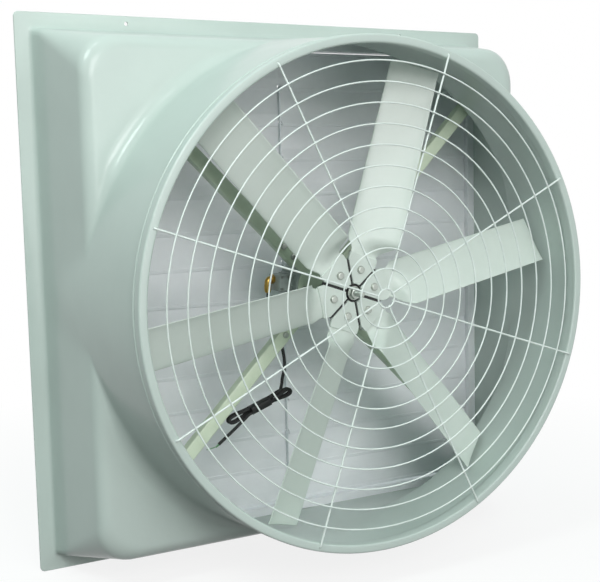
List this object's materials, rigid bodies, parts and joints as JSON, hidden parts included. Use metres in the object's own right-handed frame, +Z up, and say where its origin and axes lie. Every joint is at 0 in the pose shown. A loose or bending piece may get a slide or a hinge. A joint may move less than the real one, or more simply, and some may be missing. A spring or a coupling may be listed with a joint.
{
  "type": "greenhouse exhaust fan",
  "caption": "Square-flanged moulded greenhouse exhaust fan for evaporative pad cooling: round outlet drum with ring guard, direct-drive bladed impeller, support cross and linked inlet louvres.",
  "frame": {"origin": "centre of the wall flange's back face, on the fan axis", "axes": "+Z up, +Y into the wall along the fan axis, the outlet faces -Y, +X to the right seen from the outlet"},
  "size_m": [1.46, 0.5805, 1.46],
  "materials": {
    "gelcoat": "smooth pale grey-green gelcoat",
    "guard_wire": "white powder coat",
    "blade": "pale greenish white paint",
    "hub": "black paint",
    "motor_paint": "grey-green machine paint",
    "core_steel": "laminated steel",
    "copper": "enamelled copper",
    "black_plastic": "moulded",
    "brass": "turned brass",
    "arm_paint": "pale yellow-green paint",
    "shutter_plastic": "white extruded plastic",
    "tie_bar_metal": "mill finish",
    "cord_rubber": "black sheath and tape",
    "core_green": "insulated core",
    "steel": "zinc plated"
  },
  "bodies": {
    "casing": {"housing": "gelcoat", "guard": "guard_wire", "motor_frame": "motor_paint", "front_end_shield": "motor_paint", "rear_end_shield": "motor_paint", "stator_core": "core_steel", "stator_windings": "copper", "front_bearing": "steel", "rear_bearing": "steel", "motor_tie_bolts": "steel", "motor_mount_bolts": "steel", "terminal_box": "motor_paint", "terminal_lid": "motor_paint", "lid_screws": "steel", "terminal_block": "black_plastic", "cable_gland": "brass", "centre_plate": "arm_paint", "arm_upper_right": "arm_paint", "arm_upper_left": "arm_paint", "arm_lower_left": "arm_paint", "arm_lower_right": "arm_paint", "arm_inner_bolts": "steel", "arm_outer_bolts": "steel", "shutter_frame": "shutter_plastic", "shutter_screws": "steel", "cord_lead": "cord_rubber", "cord_hank": "cord_rubber", "cord_tail": "cord_rubber", "cord_tie": "cord_rubber", "cord_cores": "core_green"},
    "impeller": {"blade_1": "blade", "blade_2": "blade", "blade_3": "blade", "blade_4": "blade", "blade_5": "blade", "blade_6": "blade", "hub": "hub", "hub_key": "steel", "blade_bolts": "steel", "blade_nuts": "steel", "motor_shaft": "steel", "shaft_washer": "steel", "shaft_nut": "steel", "rotor_core": "core_steel"},
    "louvre_1": {"slat_1": "shutter_plastic"},
    "louvre_2": {"slat_2": "shutter_plastic"},
    "louvre_3": {"slat_3": "shutter_plastic"},
    "louvre_4": {"slat_4": "shutter_plastic"},
    "louvre_5": {"slat_5": "shutter_plastic"},
    "louvre_6": {"slat_6": "shutter_plastic"},
    "louvre_7": {"slat_7": "shutter_plastic"},
    "louvre_8": {"slat_8": "shutter_plastic"},
    "louvre_9": {"slat_9": "shutter_plastic"},
    "louvre_10": {"slat_10": "shutter_plastic"},
    "louvre_11": {"slat_11": "shutter_plastic"},
    "louvre_12": {"slat_12": "shutter_plastic"},
    "louvre_13": {"slat_13": "shutter_plastic"},
    "louvre_link": {"tie_bar": "tie_bar_metal"}
  },
  "joints": [
    {"name": "impeller_spin", "type": "hinge", "parent": "casing", "child": "impeller", "pos_m": [0, -0.3, 0], "axis": [0, -1, 0], "continuous": true},
    {"name": "louvre_1_swing", "type": "hinge", "parent": "casing", "child": "louvre_1", "pos_m": [0, -0.02216, 0.64384], "axis": [-1, 0, 0], "range_deg": [0, 70]},
    {"name": "louvre_2_swing", "type": "hinge", "parent": "casing", "child": "louvre_2", "pos_m": [0, -0.02216, 0.54487], "axis": [-1, 0, 0], "range_deg": [0, 70]},
    {"name": "louvre_3_swing", "type": "hinge", "parent": "casing", "child": "louvre_3", "pos_m": [0, -0.02216, 0.44589], "axis": [-1, 0, 0], "range_deg": [0, 70]},
    {"name": "louvre_4_swing", "type": "hinge", "parent": "casing", "child": "louvre_4", "pos_m": [0, -0.02216, 0.34691], "axis": [-1, 0, 0], "range_deg": [0, 70]},
    {"name": "louvre_5_swing", "type": "hinge", "parent": "casing", "child": "louvre_5", "pos_m": [0, -0.02216, 0.24794], "axis": [-1, 0, 0], "range_deg": [0, 70]},
    {"name": "louvre_6_swing", "type": "hinge", "parent": "casing", "child": "louvre_6", "pos_m": [0, -0.02216, 0.14896], "axis": [-1, 0, 0], "range_deg": [0, 70]},
    {"name": "louvre_7_swing", "type": "hinge", "parent": "casing", "child": "louvre_7", "pos_m": [0, -0.02216, 0.04999], "axis": [-1, 0, 0], "range_deg": [0, 70]},
    {"name": "louvre_8_swing", "type": "hinge", "parent": "casing", "child": "louvre_8", "pos_m": [0, -0.02216, -0.04899], "axis": [-1, 0, 0], "range_deg": [0, 70]},
    {"name": "louvre_9_swing", "type": "hinge", "parent": "casing", "child": "louvre_9", "pos_m": [0, -0.02216, -0.14796], "axis": [-1, 0, 0], "range_deg": [0, 70]},
    {"name": "louvre_10_swing", "type": "hinge", "parent": "casing", "child": "louvre_10", "pos_m": [0, -0.02216, -0.24694], "axis": [-1, 0, 0], "range_deg": [0, 70]},
    {"name": "louvre_11_swing", "type": "hinge", "parent": "casing", "child": "louvre_11", "pos_m": [0, -0.02216, -0.34591], "axis": [-1, 0, 0], "range_deg": [0, 70]},
    {"name": "louvre_12_swing", "type": "hinge", "parent": "casing", "child": "louvre_12", "pos_m": [0, -0.02216, -0.44489], "axis": [-1, 0, 0], "range_deg": [0, 70]},
    {"name": "louvre_13_swing", "type": "hinge", "parent": "casing", "child": "louvre_13", "pos_m": [0, -0.02216, -0.54387], "axis": [-1, 0, 0], "range_deg": [0, 70]},
    {"name": "link_pivot", "type": "hinge", "parent": "louvre_7", "child": "louvre_link", "pos_m": [0, -0.03926, -0.04699], "axis": [-1, 0, 0], "range_deg": [-70, 0]}
  ],
  "couplings": [
    {"joint": "louvre_1_swing", "follows": "louvre_7_swing", "ratio": 1},
    {"joint": "louvre_2_swing", "follows": "louvre_7_swing", "ratio": 1},
    {"joint": "louvre_3_swing", "follows": "louvre_7_swing", "ratio": 1},
    {"joint": "louvre_4_swing", "follows": "louvre_7_swing", "ratio": 1},
    {"joint": "louvre_5_swing", "follows": "louvre_7_swing", "ratio": 1},
    {"joint": "louvre_6_swing", "follows": "louvre_7_swing", "ratio": 1},
    {"joint": "louvre_8_swing", "follows": "louvre_7_swing", "ratio": 1},
    {"joint": "louvre_9_swing", "follows": "louvre_7_swing", "ratio": 1},
    {"joint": "louvre_10_swing", "follows": "louvre_7_swing", "ratio": 1},
    {"joint": "louvre_11_swing", "follows": "louvre_7_swing", "ratio": 1},
    {"joint": "louvre_12_swing", "follows": "louvre_7_swing", "ratio": 1},
    {"joint": "louvre_13_swing", "follows": "louvre_7_swing", "ratio": 1},
    {"joint": "link_pivot", "follows": "louvre_7_swing", "ratio": -1}
  ]
}
